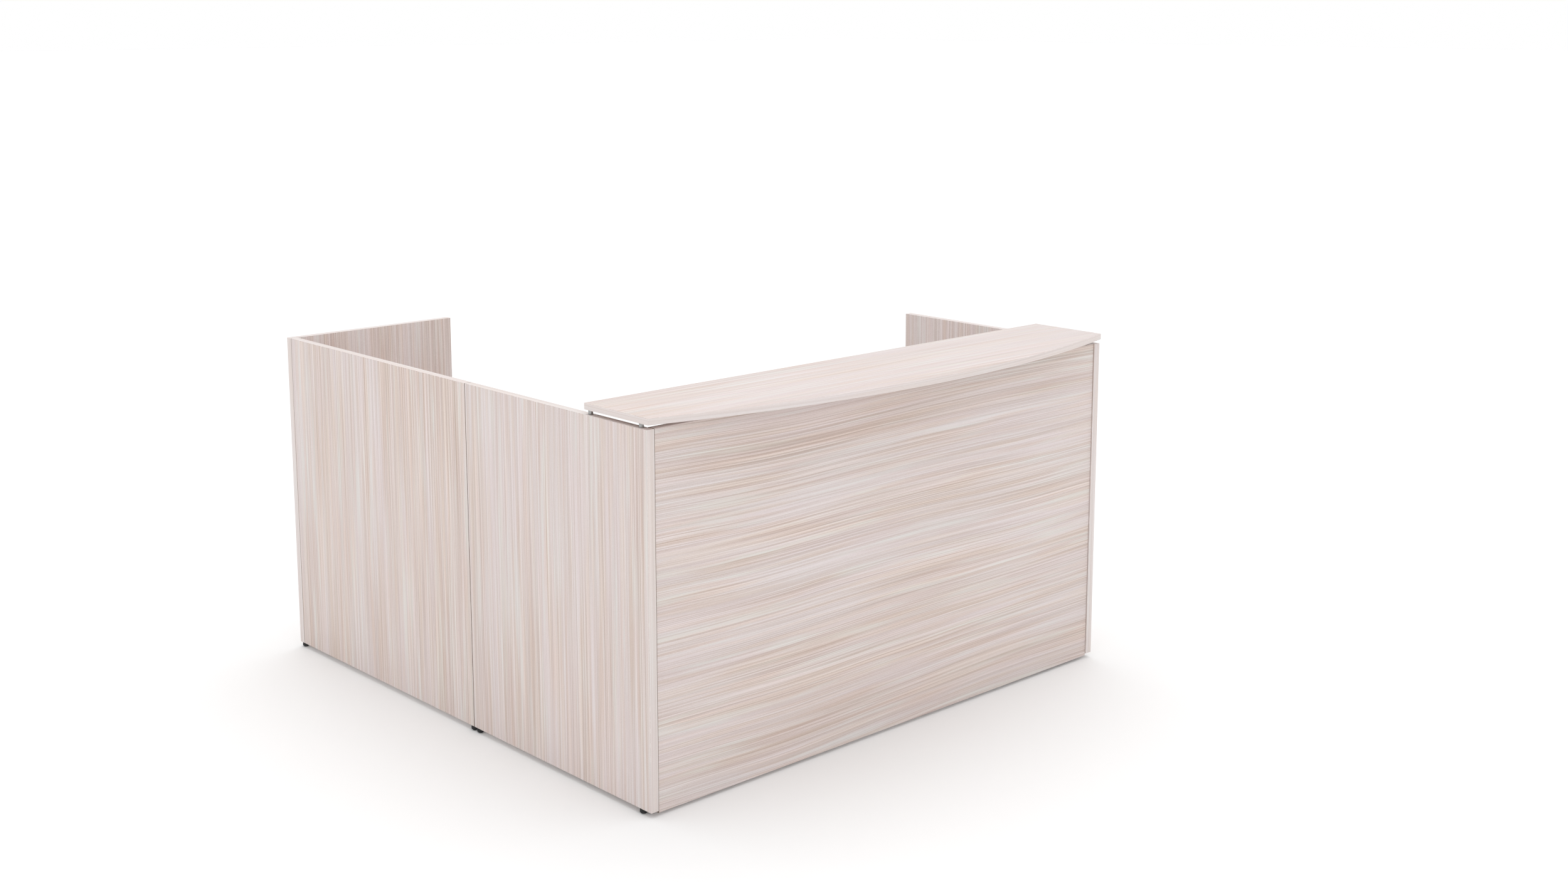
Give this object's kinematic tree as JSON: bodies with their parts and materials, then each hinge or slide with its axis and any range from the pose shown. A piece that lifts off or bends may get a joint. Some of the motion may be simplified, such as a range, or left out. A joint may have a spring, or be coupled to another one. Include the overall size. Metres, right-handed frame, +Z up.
{
  "type": "service counter",
  "caption": "L-shaped laminate checkout and reception counter with a bow-front transaction top on metal standoffs, a return wing, worktops, a drawer pedestal and levelling feet.",
  "frame": {"origin": "on the floor, at the middle of the counter's bounding box", "axes": "+X to the right as the visitor sees the bowed front, +Y from the bowed front to the back of the return, +Z up"},
  "size_m": [1.83, 1.977, 1.067],
  "materials": {
    "laminate": "pale pinkish-grey woodgrain laminate on particle board, fine linear grain, matt",
    "drawer_board": "white melamine-faced drawer board, matt",
    "satin_metal": "satin nickel plate with fine turning and drawing lines",
    "zinc_steel": "bright zinc-plated sheet steel",
    "black_plastic": "black moulded nylon",
    "grommet_plastic": "moulded plastic in a tone of the laminate"
  },
  "bodies": {
    "counter": {"front_panel": "laminate", "left_end_panel": "laminate", "right_end_panel": "laminate", "return_side_panel": "laminate", "return_end_panel": "laminate", "transaction_top": "laminate", "desk_worktop": "laminate", "return_worktop": "laminate", "standoff_left_front": "satin_metal", "standoff_left_rear": "satin_metal", "standoff_right_front": "satin_metal", "standoff_right_rear": "satin_metal", "standoff_middle_left": "satin_metal", "standoff_middle_right": "satin_metal", "front_corner_angle_left": "zinc_steel", "front_corner_angle_right": "zinc_steel", "return_corner_angle": "zinc_steel", "desk_angle_left": "zinc_steel", "desk_angle_front": "zinc_steel", "return_angle_side": "zinc_steel", "return_angle_end": "zinc_steel", "return_joint_plate_lower": "zinc_steel", "return_joint_plate_upper": "zinc_steel", "worktop_splice_plate": "zinc_steel", "pedestal_left_side": "laminate", "pedestal_right_side": "laminate", "pedestal_bottom": "laminate", "pedestal_top": "laminate", "pedestal_back": "laminate", "cable_sleeve_left": "grommet_plastic", "cable_sleeve_right": "grommet_plastic", "box_slide_fixed_left": "zinc_steel", "box_slide_fixed_right": "zinc_steel", "file_slide_fixed_left": "zinc_steel", "file_slide_fixed_right": "zinc_steel"},
    "box_drawer": {"box_drawer_front": "laminate", "box_drawer_box": "drawer_board", "box_drawer_pull": "satin_metal", "box_slide_moving_left": "zinc_steel", "box_slide_moving_right": "zinc_steel"},
    "box_carriage": {"box_slide_carriage_left": "zinc_steel", "box_slide_carriage_right": "zinc_steel"},
    "file_drawer": {"file_drawer_front": "laminate", "file_drawer_box": "drawer_board", "file_drawer_pull": "satin_metal", "file_slide_moving_left": "zinc_steel", "file_slide_moving_right": "zinc_steel"},
    "file_carriage": {"file_slide_carriage_left": "zinc_steel", "file_slide_carriage_right": "zinc_steel"},
    "lock": {"drawer_lock": "satin_metal"},
    "foot_left_front_screw": {"foot_left_front": "black_plastic"},
    "foot_left_rear_screw": {"foot_left_rear": "black_plastic"},
    "foot_right_front_screw": {"foot_right_front": "black_plastic"},
    "foot_right_rear_screw": {"foot_right_rear": "black_plastic"},
    "foot_return_front_screw": {"foot_return_front": "black_plastic"},
    "foot_return_corner_screw": {"foot_return_corner": "black_plastic"},
    "foot_return_inner_screw": {"foot_return_inner": "black_plastic"},
    "cable_cap_left_turning": {"cable_cap_left": "grommet_plastic"},
    "cable_cap_right_turning": {"cable_cap_right": "grommet_plastic"}
  },
  "joints": [
    {"name": "box_drawer_slide", "type": "slide", "parent": "counter", "child": "box_drawer", "axis": [0, 1, 0], "range_m": [0, 0.48]},
    {"name": "box_carriage_slide", "type": "slide", "parent": "counter", "child": "box_carriage", "axis": [0, 1, 0], "range_m": [0, 0.24]},
    {"name": "file_drawer_slide", "type": "slide", "parent": "counter", "child": "file_drawer", "axis": [0, 1, 0], "range_m": [0, 0.48]},
    {"name": "file_carriage_slide", "type": "slide", "parent": "counter", "child": "file_carriage", "axis": [0, 1, 0], "range_m": [0, 0.24]},
    {"name": "lock_turn", "type": "hinge", "parent": "box_drawer", "child": "lock", "pos_m": [0.5597, -0.0665, 0.6977], "axis": [0, -1, 0], "range_deg": [0, 90]},
    {"name": "foot_left_front_level", "type": "slide", "parent": "counter", "child": "foot_left_front_screw", "axis": [0, 0, -1], "range_m": [0, 0.012]},
    {"name": "foot_left_rear_level", "type": "slide", "parent": "counter", "child": "foot_left_rear_screw", "axis": [0, 0, -1], "range_m": [0, 0.012]},
    {"name": "foot_right_front_level", "type": "slide", "parent": "counter", "child": "foot_right_front_screw", "axis": [0, 0, -1], "range_m": [0, 0.012]},
    {"name": "foot_right_rear_level", "type": "slide", "parent": "counter", "child": "foot_right_rear_screw", "axis": [0, 0, -1], "range_m": [0, 0.012]},
    {"name": "foot_return_front_level", "type": "slide", "parent": "counter", "child": "foot_return_front_screw", "axis": [0, 0, -1], "range_m": [0, 0.012]},
    {"name": "foot_return_corner_level", "type": "slide", "parent": "counter", "child": "foot_return_corner_screw", "axis": [0, 0, -1], "range_m": [0, 0.012]},
    {"name": "foot_return_inner_level", "type": "slide", "parent": "counter", "child": "foot_return_inner_screw", "axis": [0, 0, -1], "range_m": [0, 0.012]},
    {"name": "cable_cap_left_turn", "type": "hinge", "parent": "counter", "child": "cable_cap_left_turning", "pos_m": [-0.495, -0.7435, 0.75], "axis": [0, 0, 1], "continuous": true},
    {"name": "cable_cap_right_turn", "type": "hinge", "parent": "counter", "child": "cable_cap_right_turning", "pos_m": [0.335, -0.7435, 0.75], "axis": [0, 0, 1], "continuous": true}
  ],
  "couplings": [
    {"joint": "box_carriage_slide", "follows": "box_drawer_slide", "ratio": 0.5},
    {"joint": "file_carriage_slide", "follows": "file_drawer_slide", "ratio": 0.5}
  ]
}
